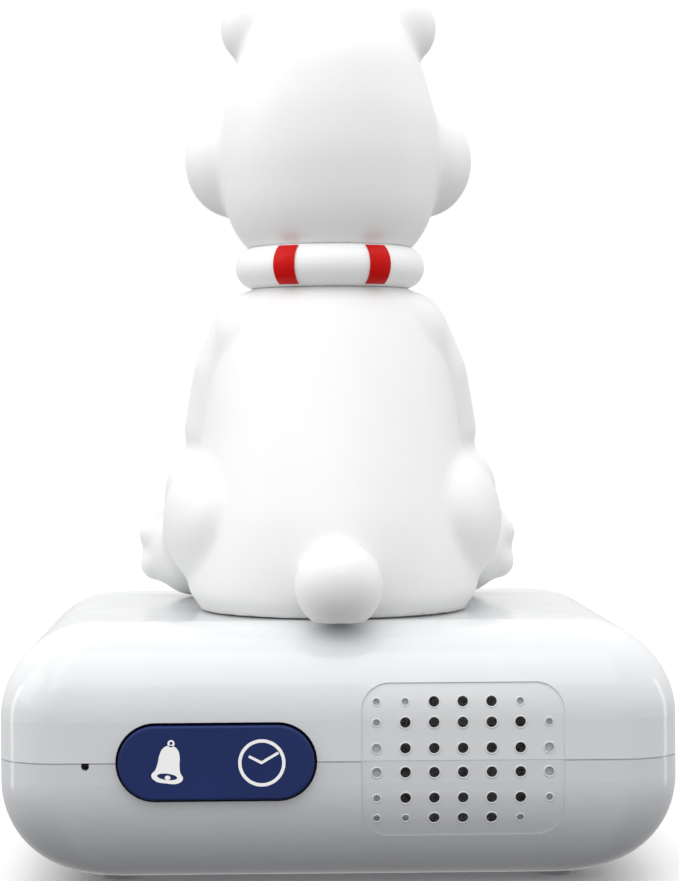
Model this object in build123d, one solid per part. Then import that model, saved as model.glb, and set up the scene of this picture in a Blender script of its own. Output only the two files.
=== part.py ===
"""Digital alarm clock: a pillow-shaped base in two shells, with a seated bear night light on top.

The display is in the front (-Y). The rocker key, the reset notch and the speaker grille are in the back (+Y).
The origin is on the table under the middle of the base. +Z is up. All sizes are in millimetres.
"""
from build123d import *
from math import atan2, cos, degrees, radians, sin
import os

# Base casing
case_side = 120.0
upper_height = 23.4
lower_height = 22.3
foot_height = 1.2
wall = 2.2
top_round = 16.4
bottom_round = 18.4
corner_radius = 11.2
corner_taper = 0.3
roll_steps = 6
groove_height = 0.25
groove_depth = 0.3
rib_wall = 1.6
slip = 0.2

# Case screws and rubber feet
case_screw_clear = 1.25
case_screw_radius = 1.5
case_screw_grip = 12.0
case_head_radius = 2.9
case_head_height = 2.2
case_head_depth = 8.0
case_boss_radius = 4.4
screw_slack = 0.05
foot_inset_x = 20.0
foot_inset_y = 23.0
foot_radius = 2.7
foot_recess = 0.6
foot_edge = 0.5

# Fascia parts that stand out of the front and the back by the same amount
fascia_proud = 1.4
fascia_edge = 0.4

# Rocker key on the back
rocker_x = 21.7
rocker_length = 34.1
rocker_height = 12.8
key_gap = 0.5
flange_lap = 0.7
flange_gap = 0.9
flange_thickness = 1.4
pivot_drop = 2.0
pin_radius = 0.9
pin_slack = 0.05
lug_width = 5.0
lug_height = 6.6
lug_tail = 1.7
ear_gap = 0.3
ear_thickness = 1.6
post_offset = 11.0
post_radius = 2.0
dome_radius = 3.6
dome_tip_radius = 2.3
dome_height = 2.6
dome_gap = 0.1
dome_hole_gap = 0.5
web_thickness = 0.8
carrier_thickness = 1.2
board_thickness = 1.6
key_board_left = 4.5
key_board_height = 20.0
key_board_margin = 4.3
board_hole_inset = 2.6

# Reset notch and its switch
reset_x = 44.5
reset_radius = 0.67
reset_drop = 0.63
switch_side = 6.0
switch_depth = 3.4
plunger_radius = 1.4
plunger_height = 1.6
plunger_seat = 0.6
plunger_travel = 0.25

# Speaker grille on the back
grille_x = -21.3
grille_width = 35.6
grille_height = 27.0
grille_corner = 5.0
grille_depth = 0.22
grille_pitch = 5.03
grille_columns = 7
grille_row_offsets = (10.2, 6.6, 2.1, -2.1, -6.6, -10.2)
grille_hole_radius = 1.03
dimple_radius = 0.92
small_dimple_radius = 0.7
dimple_depth = 0.9

# Speaker
speaker_radius = 14.0
speaker_flange = 1.2
speaker_front_gap = 5.6
speaker_seat_wall = 1.5
speaker_seat_depth = 4.0
cloth_thickness = 0.4
gasket_thickness = 1.2
gasket_width = 1.8
basket_depth = 6.0
basket_wall = 0.8
basket_floor_radius = 9.0
magnet_radius = 8.0
magnet_depth = 4.0
cone_thickness = 0.4
cone_depth = 3.5
dust_cap_radius = 4.0
dust_cap_height = 1.6
dust_cap_shoulder = (0.6, 0.75)

# Display module in the front
bezel_width = 74.0
bezel_height = 25.0
bezel_corner = 8.0
bezel_gap = 0.2
bezel_lip = 1.2
window_width = 62.0
window_height = 15.0
window_corner = 3.5
pocket_width = 68.0
pocket_height = 20.0
pocket_corner = 4.5
bezel_flange_lap = 1.2
bezel_flange_thickness = 2.0
bezel_flange_depth = 8.0
lens_thickness = 1.5
lcd_thickness = 2.0
layer_gap = 0.1
board_screw_radius = 1.0
board_screw_grip = 1.6
board_head_radius = 1.9
board_head_height = 1.2
main_board_screw_x = 36.0
main_board_screw_z = 10.6
chip_radius = 6.0
chip_height = 1.6
slot_rib_x = 30.0
slot_rib_width = 4.0
slot_rib_lip = 1.8
slot_rib_grip = 2.0

# Battery bay, door and cells
cell_radius = 7.25
cell_length = 50.5
cell_count = 3
cell_pitch = 14.9
cell_slack = 0.4
cell_nub_radius = 2.6
cell_nub_height = 1.2
contact_room = 3.0
contact_thickness = 0.4
contact_width = 9.0
contact_height = 11.0
bay_wall = 2.8
bay_roof = 1.6
door_gap = 0.3
door_lap = 1.25
tab_width = 4.2
tab_reach = 3.0
tab_root = 3.0
tab_thickness = 1.2
tab_window = 3.4
door_ear_radius = 5.0
door_ear_reach = 4.0
door_screw_radius = 1.25
door_screw_grip = 3.6
door_screw_slack = 0.4
door_head_radius = 2.4
door_head_height = 1.2
door_boss_height = 9.0
grip_ridges = 5
grip_ridge_length = 16.0
grip_ridge_width = 1.0
grip_ridge_pitch = 2.4
grip_ridge_depth = 0.5

# Snooze and light key on the top
snooze_setback = 22.5
snooze_length = 30.0
snooze_width = 11.0
snooze_proud = 1.5
snooze_edge = 0.6
snooze_gap = 0.4
snooze_lap = 1.2
snooze_flange = 1.2
snooze_seat_gap = 0.1
snooze_post_radius = 2.5
snooze_post_length = 2.0
snooze_boss_x = 20.5
snooze_boss_radius = 2.6
snooze_board_width = 15.0

# Night lamp under the bear
figure_y = 10.0
lamp_hole_radius = 11.0
lamp_board_radius = 16.0
lamp_board_drop = 4.0
lamp_boss_radius = 2.0
lamp_boss_circle = 13.7
led_count = 3
led_circle = 6.0
led_radius = 2.5
led_height = 5.6
led_rim = 0.5
led_rim_height = 1.0

# Bear figure, heights measured from the skin's lower edge
figure_gap = 0.3
skin_wall = 2.6
base_plate_thickness = 2.0
base_plate_slip = 0.3
figure_screw_radius = 1.25
figure_screw_grip = 5.0
figure_head_radius = 2.3
figure_head_height = 1.8
figure_screw_circle = 18.5
figure_boss_radius = 3.0
neck_y = 3.0
neck_radius = 9.4
neck_bore = 7.0
neck_slip = 0.2
neck_top = 73.0
ring_height = 64.9
ring_radius = 14.1
ring_tube = 4.1
ring_slip = 0.1
band_angle = 30.0
band_spread = 14.0
band_height = 7.4
band_thickness = 0.25
band_slip = 0.04
head_y = 2.0

# Left limbs of the bear as places (X, Y, height) with a radius, and its rounded lobes with half sizes
haunch = (20.5, 10.0, 16.5)
haunch_half = (11.6, 21.0, 13.4)
knee = (23.6, 1.0, 21.6)
knee_radius = 8.3
ankle = (26.8, -22.5, 9.2)
ankle_radius = 7.4
sole = (27.8, -27.0, 9.6)
sole_half = (9.8, 7.0, 9.6)
toe_turns = (-22.0, 18.0, 51.0, 85.0)
toe_reach = 8.5
toe_radius = 3.4
toe_forward = 1.0
shoulder = (14.8, 2.6, 52.5)
shoulder_radius = 8.4
upper_arm = (18.8, 1.8, 43.8)
upper_arm_radius = 7.5
elbow = (21.6, 0.5, 33.5)
elbow_radius = 6.5
wrist = (15.0, -19.5, 25.5)
wrist_radius = 6.8
tail = (0.0, 51.5, 6.3)
tail_radius = 7.6
ear = (13.55, 0.5, 111.7)
ear_half = (7.2, 5.0, 7.2)
cheek = (18.4, -4.5, 86.0)
cheek_half = (9.4, 8.6, 11.2)
muzzle = (0.0, -18.5, 83.0)
muzzle_half = (11.0, 10.0, 8.0)
nose = (0.0, -27.4, 87.2)
nose_half = (4.2, 2.6, 3.0)

# Height, half width, half depth and middle of each slice through the trunk
trunk_slices = (
    (0.0, 25.0, 31.0, 12.5),
    (3.0, 27.0, 33.1, 12.1),
    (9.0, 27.3, 33.8, 11.6),
    (17.0, 26.4, 33.1, 10.7),
    (25.0, 25.4, 30.8, 9.5),
    (33.0, 24.3, 27.8, 8.3),
    (41.0, 23.2, 24.7, 6.9),
    (49.0, 21.4, 21.5, 5.4),
    (55.0, 19.0, 18.7, 4.3),
    (60.0, 15.8, 15.5, 3.4),
    (63.5, 12.0, 12.0, 3.0),
)
# Height, half width and half depth of each slice through the head
head_slices = (
    (67.0, 13.8, 13.8),
    (69.0, 16.0, 15.9),
    (72.0, 18.1, 17.9),
    (76.0, 19.7, 19.5),
    (81.0, 20.6, 20.5),
    (87.0, 21.0, 21.0),
    (94.0, 20.4, 20.5),
    (100.0, 19.2, 19.4),
    (105.5, 17.6, 17.8),
    (110.0, 15.2, 15.4),
    (113.4, 11.8, 12.0),
    (115.4, 7.8, 8.0),
    (116.2, 3.0, 3.0),
)

# Levels and planes that follow from the sizes above
bottom_z = foot_height
parting_z = foot_height + lower_height
top_z = parting_z + upper_height
floor_z = bottom_z + wall
ceiling_z = top_z - wall
back_y = case_side / 2
front_y = -case_side / 2
seat_z = top_z + figure_gap
foot_x = case_side / 2 - foot_inset_x
foot_y = case_side / 2 - foot_inset_y
snooze_y = front_y + snooze_setback


# Drawing helpers

def prism_z(outline, x, y, low, high):
    """An outline drawn in plan, standing from one height to another."""
    return extrude(Pos(x, y, low) * outline, high - low)


def prism_y(outline, x, z, rear, front):
    """An outline drawn as seen from the front, X to the right and Z up, from depth rear to depth front."""
    face = Plane((x, front, z), x_dir=(1, 0, 0), z_dir=(0, -1, 0)) * outline
    return extrude(face, front - rear)


def rod_y(radius, x, z, rear, front):
    """A round bar along Y."""
    return prism_y(Circle(radius), x, z, rear, front)


def rod_z(radius, x, y, low, high):
    """A round bar along Z."""
    return prism_z(Circle(radius), x, y, low, high)


def ellipsoid(x, y, z, half_x, half_y, half_z):
    """A ball stretched to three half sizes."""
    return Pos(x, y, z) * scale(Sphere(1), by=(half_x, half_y, half_z))


def tapered_limb(start, start_radius, end, end_radius):
    """Two balls of different size with the cone that touches both."""
    axis = Vector(*end) - Vector(*start)
    length = axis.length
    lean = (start_radius - end_radius) / length
    side = (1 - lean * lean) ** 0.5
    low = (start_radius * side, start_radius * lean)
    high = (end_radius * side, length + end_radius * lean)
    outline = Polyline((0, -start_radius), (0, length + end_radius))
    foot_arc = ThreePointArc((0, -start_radius), ball_point(0, start_radius, lean, -1), low)
    head_arc = ThreePointArc(high, ball_point(length, end_radius, lean, 1), (0, length + end_radius))
    face = make_face([outline, foot_arc, Line(low, high), head_arc])
    body = revolve(Plane.XZ * face, Axis.Z)
    return Plane(start, z_dir=axis) * body


def ball_point(height, radius, lean, end):
    """A point half way along the round end of a limb's outline."""
    tangent = degrees(atan2(lean, (1 - lean * lean) ** 0.5))
    angle = radians((tangent + 90 * end) / 2)
    return (radius * cos(angle), height + radius * sin(angle))


def both_sides(shape):
    """The shape and its mirror image across the middle plane."""
    return [shape, mirror(shape, Plane.YZ)]


# Base casing

def plan_section(inset, roll_in, height):
    """The rounded square of the base at one height, inside the case wall by inset and roll_in."""
    side = case_side - 2 * (inset + roll_in)
    radius = corner_radius - inset - corner_taper * roll_in
    return Pos(0, 0, height) * RectangleRounded(side, side, radius)


def half_pillow(inset, height, edge_round, direction):
    """The base above or below the parting plane: an upright wall that rolls over into a flat face."""
    roll = edge_round - inset
    upright = height - edge_round
    sections = []
    for step in range(roll_steps + 1):
        angle = radians(90 * step / roll_steps)
        rise = upright + roll * sin(angle)
        sections.append(plan_section(inset, roll * (1 - cos(angle)), parting_z + direction * rise))
    band = extrude(plan_section(inset, 0, min(parting_z, parting_z + direction * upright)), upright)
    return band + loft(sections)


def upper_pillow(inset):
    return half_pillow(inset, upper_height, top_round, 1)


def lower_pillow(inset):
    return half_pillow(inset, lower_height, bottom_round, -1)


def rocker_outline(margin):
    return SlotOverall(rocker_length + 2 * margin, rocker_height + 2 * margin)


def bezel_outline(margin):
    return RectangleRounded(bezel_width + 2 * margin, bezel_height + 2 * margin, bezel_corner + margin)


def fascia_holes():
    """What the rocker and the display module take out of both shells."""
    rocker_hole = prism_y(rocker_outline(key_gap), rocker_x, parting_z, 0, back_y + fascia_proud)
    bezel_hole = prism_y(bezel_outline(bezel_gap), 0, parting_z, front_y - fascia_proud, 0)
    return rocker_hole + bezel_hole


def grille_kind(row, column):
    """through, dimple, small or None at one place of the grille, as moulded: the corners fade out."""
    last_row = len(grille_row_offsets) - 1
    last_column = grille_columns - 1
    outer_row = row in (0, last_row)
    middle_row = row in (last_row // 2, last_row - last_row // 2)
    if column in (0, last_column):
        if outer_row and column == last_column:
            return None
        return "dimple" if middle_row else "small"
    if outer_row and column in (1, last_column - 1):
        return "small"
    return "through"


def grille_cutters():
    """The grille's round holes and blind dimples, and the shallow panel that they lie in."""
    panel = prism_y(RectangleRounded(grille_width, grille_height, grille_corner),
                    grille_x, parting_z, back_y - top_round / 2, back_y + fascia_proud)
    cutters = [panel - upper_pillow(grille_depth) - lower_pillow(grille_depth)]
    cores = (upper_pillow(grille_depth + dimple_depth), lower_pillow(grille_depth + dimple_depth))
    for row, offset in enumerate(grille_row_offsets):
        core = cores[0] if offset > 0 else cores[1]
        for column in range(grille_columns):
            x = grille_x + ((grille_columns - 1) / 2 - column) * grille_pitch
            z = parting_z + offset
            kind = grille_kind(row, column)
            if kind == "through":
                cutters.append(rod_y(grille_hole_radius, x, z, back_y - top_round / 2, back_y + fascia_proud))
            elif kind:
                radius = dimple_radius if kind == "dimple" else small_dimple_radius
                cutters.append(rod_y(radius, x, z, back_y - top_round / 2, back_y + fascia_proud) - core)
    return cutters


speaker_plane_y = back_y - wall - speaker_front_gap


def speaker_seat():
    """The round collar on the inside of the back that the speaker plugs into."""
    rear = speaker_plane_y - speaker_seat_depth
    outer = rod_y(speaker_radius + slip + speaker_seat_wall, grille_x, parting_z, rear, back_y)
    return outer - rod_y(speaker_radius + slip, grille_x, parting_z, rear, back_y)


def case_screw_places():
    return [(x, y) for x in (-case_screw_x, case_screw_x) for y in (-case_screw_y, case_screw_y)]


def case_boss(x, y, low, high):
    """A round post for a case screw, with its seam towards the middle of the base."""
    turn = 180 if x > 0 else 0
    return prism_z(Rot(0, 0, turn) * Circle(case_boss_radius), x, y, low, high)


case_seat_z = bottom_z + case_head_depth + case_head_height
case_tip_z = parting_z + case_screw_grip


def slot_rib(x, rear, front, rest_z):
    """A pair of lips on the floor that hold the lower edge of an upright board."""
    block = Pos(x, (rear + front) / 2, 0) * Box(
        slot_rib_width, front - rear + 2 * (slip + slot_rib_lip), rest_z + slot_rib_grip,
        align=(Align.CENTER, Align.CENTER, Align.MIN))
    slot = Pos(x, (rear + front) / 2, rest_z - layer_gap) * Box(
        slot_rib_width, front - rear + 2 * slip, slot_rib_grip + layer_gap,
        align=(Align.CENTER, Align.CENTER, Align.MIN))
    return block - slot


# Places of the rear key stack, from the back wall inwards
rocker_flange_front = back_y - wall - flange_gap
rocker_flange_back = rocker_flange_front - flange_thickness
pivot_y = rocker_flange_back - pivot_drop
dome_tip_y = rocker_flange_back - pivot_drop - lug_tail
web_front = dome_tip_y - dome_height
key_board_front = web_front - web_thickness
key_board_back = key_board_front - board_thickness
carrier_front = web_front + carrier_thickness
key_board_right = reset_x + key_board_margin
key_board_x = (key_board_left + key_board_right) / 2
key_board_width = key_board_right - key_board_left
key_board_low = parting_z - key_board_height / 2
key_pad_height = key_board_height - 2 * (slot_rib_grip + 2 * slip)
key_pad_right = reset_x - switch_side / 2 - slip
key_rib_places = (key_board_left + 2 * slot_rib_width, key_board_right - 3 * slot_rib_width)

# Places of the display stack, from the front inwards
bezel_front = front_y - fascia_proud
lens_front = bezel_front + bezel_lip
lcd_front = lens_front + lens_thickness + layer_gap
backlight_front = lcd_front + lcd_thickness + layer_gap
bezel_flange_front = front_y + bezel_flange_depth - bezel_flange_thickness
bezel_back = front_y + bezel_flange_depth
main_board_front = bezel_back
main_board_back = main_board_front + board_thickness
display_low = parting_z - bezel_height / 2 - bezel_flange_lap

# Places in the battery bay
cell_z = floor_z + cell_slack + cell_radius
bay_half_length = cell_length / 2 + cell_nub_height / 2 + contact_room
bay_half_width = (cell_count - 1) * cell_pitch / 2 + cell_radius + cell_slack
bay_ceiling = cell_z + cell_radius + cell_slack
door_half_length = bay_half_length + door_lap
door_half_width = bay_half_width + door_lap
door_ear_x = door_half_length + door_ear_reach
door_tab_y = cell_pitch / 2
case_screw_x = bay_half_length + bay_wall + case_boss_radius
case_screw_y = bay_half_width + bay_wall + case_boss_radius + case_screw_clear


def door_outline(margin):
    """The battery door in plan: a rectangle with a round ear for its screw."""
    plate = Rectangle(2 * (door_half_length + margin), 2 * (door_half_width + margin))
    ear = Pos(door_ear_x, 0) * Circle(door_ear_radius + margin)
    neck = Pos((door_half_length + door_ear_x) / 2, 0) * Rectangle(
        door_ear_x - door_half_length, 2 * (door_ear_radius + margin))
    return plate + neck + ear


def battery_bay():
    """The walls, roof and screw boss that stand on the floor around the cells."""
    block = prism_z(Rectangle(2 * (bay_half_length + bay_wall), 2 * (bay_half_width + bay_wall)),
                    0, 0, bottom_z, bay_ceiling + bay_roof)
    boss = rod_z(door_ear_radius + door_gap + rib_wall, door_ear_x, 0, bottom_z, floor_z + door_boss_height)
    return block + boss


def battery_bay_hollow():
    """The room for the cells, the door and its hooks, and the hole for the door's screw."""
    room = prism_z(Rectangle(2 * bay_half_length, 2 * bay_half_width), 0, 0, bottom_z, bay_ceiling)
    doorway = prism_z(door_outline(door_gap), 0, 0, 0, floor_z)
    hollow = room + doorway
    hollow += rod_z(door_screw_radius + door_screw_slack, door_ear_x, 0, bottom_z,
                    floor_z + door_screw_grip + 2 * layer_gap)
    for y in (-door_tab_y, door_tab_y):
        window = prism_z(Rectangle(bay_wall + tab_reach, tab_width + 2 * door_gap),
                         -(bay_half_length + (bay_wall + tab_reach) / 2), y, floor_z, floor_z + tab_window)
        hollow += window
    return hollow


def make_lower_shell():
    shell = lower_pillow(0) - lower_pillow(wall)
    core = lower_pillow(wall / 2)
    inner = [battery_bay()]
    for x, y in case_screw_places():
        inner.append(case_boss(x, y, 0, parting_z))
    for x in (-slot_rib_x, slot_rib_x):
        inner.append(slot_rib(x, bezel_flange_front, main_board_back, display_low))
    for x in key_rib_places:
        inner.append(slot_rib(x, key_board_back, key_board_front, key_board_low))
    below = prism_z(Rectangle(case_side, case_side), 0, 0, 0, parting_z)
    inner.append(speaker_seat() & below)
    for rib in inner:
        shell += rib & core
    cutters = [fascia_holes(), battery_bay_hollow(), *grille_cutters(), reset_notch()]
    for x, y in case_screw_places():
        cutters.append(rod_z(case_head_radius + slip, x, y, 0, case_seat_z))
        cutters.append(rod_z(case_screw_radius + slip, x, y, 0, parting_z))
    for x in (-foot_x, foot_x):
        for y in (-foot_y, foot_y):
            cutters.append(rod_z(foot_radius + slip, x, y, 0, bottom_z + foot_recess))
    groove = extrude(plan_section(-1, 0, parting_z - groove_height), groove_height)
    cutters.append(groove - extrude(plan_section(groove_depth, 0, parting_z - groove_height), groove_height))
    return shell - cutters


def reset_notch():
    """A pin-sized notch in the upper edge of the lower shell, with a round bottom."""
    outline = Pos(0, -reset_drop) * Circle(reset_radius) + Rectangle(2 * reset_radius, 2 * reset_drop)
    return prism_y(outline, reset_x, parting_z, back_y - 2 * wall, back_y + fascia_proud)


def snooze_outline(margin):
    return SlotOverall(snooze_length + 2 * margin, snooze_width + 2 * margin)


# Places of the snooze key stack, from the top downwards
snooze_flange_top = ceiling_z - snooze_seat_gap
snooze_post_low = snooze_flange_top - snooze_flange - snooze_post_length
snooze_dome_tip = snooze_post_low - dome_gap
snooze_web_top = snooze_dome_tip - dome_height
snooze_board_top = snooze_web_top - web_thickness
snooze_board_low = snooze_board_top - board_thickness
lamp_board_top = ceiling_z - lamp_board_drop
lamp_board_low = lamp_board_top - board_thickness


def figure_screw_places():
    turns = [radians(90 + 120 * k) for k in range(3)]
    return [(figure_screw_circle * cos(t), figure_y + figure_screw_circle * sin(t)) for t in turns]


def lamp_boss_places():
    turns = [radians(30 + 120 * k) for k in range(3)]
    return [(lamp_boss_circle * cos(t), figure_y + lamp_boss_circle * sin(t)) for t in turns]


def make_upper_shell():
    shell = upper_pillow(0) - upper_pillow(wall)
    core = upper_pillow(wall / 2)
    inner = []
    for x, y in case_screw_places():
        inner.append(case_boss(x, y, parting_z, top_z))
    for x in (-snooze_boss_x, snooze_boss_x):
        inner.append(rod_z(snooze_boss_radius, x, snooze_y, snooze_board_top, top_z))
    for x, y in lamp_boss_places():
        inner.append(rod_z(lamp_boss_radius, x, y, lamp_board_top, top_z))
    above = prism_z(Rectangle(case_side, case_side), 0, 0, parting_z, top_z)
    inner.append(speaker_seat() & above)
    for rib in inner:
        shell += rib & core
    cutters = [fascia_holes(), *grille_cutters()]
    cutters.append(rod_z(lamp_hole_radius, 0, figure_y, parting_z, top_z))
    cutters.append(prism_z(snooze_outline(snooze_gap), 0, snooze_y, parting_z, top_z))
    for x, y in case_screw_places():
        cutters.append(rod_z(case_screw_radius + screw_slack, x, y, parting_z, case_tip_z + slip))
    for x, y in figure_screw_places():
        cutters.append(rod_z(figure_screw_radius + slip, x, y, parting_z, top_z))
    for x in (-snooze_boss_x, snooze_boss_x):
        cutters.append(rod_z(board_screw_radius + screw_slack, x, snooze_y, snooze_board_top,
                             snooze_board_top + board_screw_grip + slip))
    for x, y in lamp_boss_places():
        cutters.append(rod_z(board_screw_radius + screw_slack, x, y, lamp_board_top,
                             lamp_board_top + board_screw_grip + slip))
    return shell - cutters


# Fasteners and feet

def screw_up(x, y, seat, tip, radius, head_radius, head_height):
    """A screw driven upwards: its head hangs under the seat."""
    shank = rod_z(radius, x, y, seat, tip)
    head = rod_z(head_radius, x, y, seat - head_height, seat)
    cross = Pos(x, y, seat - head_height) * (Box(head_radius, head_radius / 4, head_height)
                                             + Box(head_radius / 4, head_radius, head_height))
    return shank + head - cross


def screw_along_y(x, z, seat, tip, radius, head_radius, head_height):
    """A screw along Y from its seat to its tip, with the head outside the seat."""
    way = 1 if tip > seat else -1
    shank = rod_y(radius, x, z, min(seat, tip), max(seat, tip))
    head_end = seat - way * head_height
    head = rod_y(head_radius, x, z, min(seat, head_end), max(seat, head_end))
    cross = Pos(x, head_end, z) * (Box(head_radius, head_height, head_radius / 4)
                                   + Box(head_radius / 4, head_height, head_radius))
    return shank + head - cross


def make_case_screws():
    return [screw_up(x, y, case_seat_z, case_tip_z, case_screw_radius, case_head_radius, case_head_height)
            for x, y in case_screw_places()]


def make_rubber_feet():
    feet = []
    for x in (-foot_x, foot_x):
        for y in (-foot_y, foot_y):
            foot = rod_z(foot_radius, x, y, 0, bottom_z + foot_recess)
            feet.append(fillet(foot.edges().sort_by(Axis.Z)[0], foot_edge))
    return feet


# Rocker key, its pivot and its contacts

def make_rocker_key():
    """The blue plate with a flange behind the wall, a pivot lug and two posts that press the domes."""
    plate = prism_y(rocker_outline(0), rocker_x, parting_z, rocker_flange_front, back_y + fascia_proud)
    face = plate.faces().sort_by(Axis.Y)[-1]
    plate = fillet(face.edges(), fascia_edge)
    flange = prism_y(rocker_outline(key_gap + flange_lap), rocker_x, parting_z,
                     rocker_flange_back, rocker_flange_front)
    lug_outline = Rectangle(lug_width, lug_height)
    lug = prism_y(lug_outline, rocker_x, parting_z, pivot_y - lug_tail, rocker_flange_back)
    key = plate + flange + lug
    for x in (rocker_x - post_offset, rocker_x + post_offset):
        key += rod_y(post_radius, x, parting_z, dome_tip_y + dome_gap, rocker_flange_back)
    bore_low = parting_z - lug_height
    return key - rod_z(pin_radius + pin_slack, rocker_x, pivot_y, bore_low, parting_z + lug_height)


def rocker_pin_half():
    return lug_height / 2 + ear_gap + ear_thickness


def make_rocker_pin():
    half = rocker_pin_half()
    return rod_z(pin_radius, rocker_x, pivot_y, parting_z - half, parting_z + half)


def key_board_holes():
    reach = key_pad_height / 2 - board_hole_inset
    return [(x, parting_z + z) for x in (key_board_left + board_hole_inset, reset_x - switch_side)
            for z in (-reach, reach)]


def key_pad_slab(rear, front):
    """A layer in front of the key board, clear of the reset switch."""
    outline = Rectangle(key_pad_right - key_board_left, key_pad_height)
    return prism_y(outline, (key_board_left + key_pad_right) / 2, parting_z, rear, front)


def make_rocker_carrier():
    """A plate over the keypad, open at the domes, with two ears that hold the pivot pin."""
    carrier = key_pad_slab(web_front, carrier_front)
    ear_low = lug_height / 2 + ear_gap
    for side in (-1, 1):
        z = parting_z + side * (ear_low + ear_thickness / 2)
        ear_outline = Rectangle(lug_width, ear_thickness)
        carrier += prism_y(ear_outline, rocker_x, z, carrier_front, pivot_y + lug_tail)
    half = rocker_pin_half()
    carrier -= rod_z(pin_radius + pin_slack, rocker_x, pivot_y, parting_z - half, parting_z + half)
    for x in (rocker_x - post_offset, rocker_x + post_offset):
        carrier -= rod_y(dome_radius + dome_hole_gap, x, parting_z, web_front, carrier_front)
    for x, z in key_board_holes():
        carrier -= rod_y(board_screw_radius + slip, x, z, web_front, carrier_front)
    return carrier


def dome_y(x, z, rear):
    """A rubber dome that stands off the keypad's web towards the back."""
    return Plane((x, rear, z), z_dir=(0, 1, 0)) * Cone(
        dome_radius, dome_tip_radius, dome_height, align=(Align.CENTER, Align.CENTER, Align.MIN))


def make_rear_keypad():
    pad = key_pad_slab(key_board_front, web_front)
    for x in (rocker_x - post_offset, rocker_x + post_offset):
        pad += dome_y(x, parting_z, web_front)
        hollow = dome_tip_radius - web_thickness
        pad -= rod_y(hollow, x, parting_z, key_board_front, web_front + dome_height - web_thickness)
    for x, z in key_board_holes():
        pad -= rod_y(board_screw_radius + slip, x, z, key_board_front, web_front)
    return pad


def make_key_board():
    board = prism_y(Rectangle(key_board_width, key_board_height), key_board_x, parting_z,
                    key_board_back, key_board_front)
    for x, z in key_board_holes():
        board -= rod_y(board_screw_radius + screw_slack, x, z, key_board_back, key_board_front)
    return board


def make_key_board_screws():
    return [screw_along_y(x, z, carrier_front, key_board_back, board_screw_radius, board_head_radius,
                          board_head_height) for x, z in key_board_holes()]


reset_switch_front = key_board_front + switch_depth
reset_z = parting_z - reset_drop


def make_reset_switch():
    body = prism_y(Rectangle(switch_side, switch_side), reset_x, reset_z, key_board_front, reset_switch_front)
    seat = rod_y(plunger_radius + slip, reset_x, reset_z,
                 reset_switch_front - plunger_seat - plunger_travel - slip, reset_switch_front)
    return body - seat


def make_reset_plunger():
    return rod_y(plunger_radius, reset_x, reset_z, reset_switch_front - plunger_seat,
                 reset_switch_front + plunger_height)


# Speaker behind the grille

def make_grille_cloth():
    return rod_y(speaker_radius - slip, grille_x, parting_z, speaker_plane_y + gasket_thickness,
                 speaker_plane_y + gasket_thickness + cloth_thickness)


def make_speaker_gasket():
    gasket_back = speaker_plane_y + gasket_thickness
    outer = rod_y(speaker_radius - slip, grille_x, parting_z, speaker_plane_y, gasket_back)
    return outer - rod_y(speaker_radius - gasket_width, grille_x, parting_z, speaker_plane_y, gasket_back)


def revolved_y(points, y):
    """A closed outline of radius and depth, turned about the speaker's axis. Depth runs to the back."""
    face = make_face(Polyline(*points, close=True))
    turned = revolve(Plane.XZ * face, Axis.Z)
    return Plane((grille_x, y, parting_z), x_dir=(1, 0, 0), z_dir=(0, 1, 0)) * turned


def make_speaker_frame():
    """The pressed basket: a flat rim, a tapering bowl and a floor that carries the magnet."""
    rim = speaker_radius
    bowl = speaker_radius - gasket_width
    floor = basket_floor_radius
    depth = basket_depth
    points = ((bowl, -speaker_flange), (bowl, 0), (rim, 0), (rim, -speaker_flange),
              (bowl + basket_wall, -speaker_flange), (floor + basket_wall, -depth), (0, -depth),
              (0, -depth + basket_wall), (floor, -depth + basket_wall))
    return revolved_y(points, speaker_plane_y)


def make_speaker_magnet():
    rear = speaker_plane_y - basket_depth - magnet_depth
    return rod_y(magnet_radius, grille_x, parting_z, rear, speaker_plane_y - basket_depth)


def make_speaker_cone():
    """A paper cone with its dust cap, hung on the rim."""
    edge = speaker_radius - gasket_width - slip
    cap = dust_cap_radius
    t = cone_thickness
    across, rise = dust_cap_shoulder
    points = ((edge, 0), (edge, -t), (cap, -cone_depth - t), (0, -cone_depth - t),
              (0, -cone_depth + dust_cap_height),
              (cap * across, -cone_depth + dust_cap_height * rise), (cap, -cone_depth))
    return revolved_y(points, speaker_plane_y)


# Display module

def make_display_bezel():
    """A deep frame: a lip round the window, a pocket for the glass and a flange inside the case."""
    body = prism_y(bezel_outline(0), 0, parting_z, bezel_front, bezel_back)
    face = body.faces().sort_by(Axis.Y)[0]
    body = fillet(face.edges(), 2 * fascia_edge)
    body += prism_y(bezel_outline(bezel_flange_lap), 0, parting_z, bezel_flange_front, bezel_back)
    body -= prism_y(RectangleRounded(window_width, window_height, window_corner), 0, parting_z,
                    bezel_front, lens_front)
    body -= prism_y(RectangleRounded(pocket_width, pocket_height, pocket_corner), 0, parting_z,
                    lens_front, bezel_back)
    for x, z in main_board_holes():
        hole_end = bezel_back - board_screw_grip - slip
        body -= rod_y(board_screw_radius + screw_slack, x, z, hole_end, bezel_back)
    return body


def main_board_holes():
    return [(x, parting_z + z) for x in (-main_board_screw_x, main_board_screw_x)
            for z in (-main_board_screw_z, main_board_screw_z)]


def pocket_slab(front, thickness):
    """A layer of the display stack, loose in the bezel's pocket."""
    outline = RectangleRounded(pocket_width - 2 * slip, pocket_height - 2 * slip, pocket_corner - slip)
    return prism_y(outline, 0, parting_z, front, front + thickness)


def make_main_board():
    board = prism_y(bezel_outline(bezel_flange_lap), 0, parting_z, main_board_front, main_board_back)
    for x, z in main_board_holes():
        board -= rod_y(board_screw_radius + slip, x, z, main_board_front, main_board_back)
    return board


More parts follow.
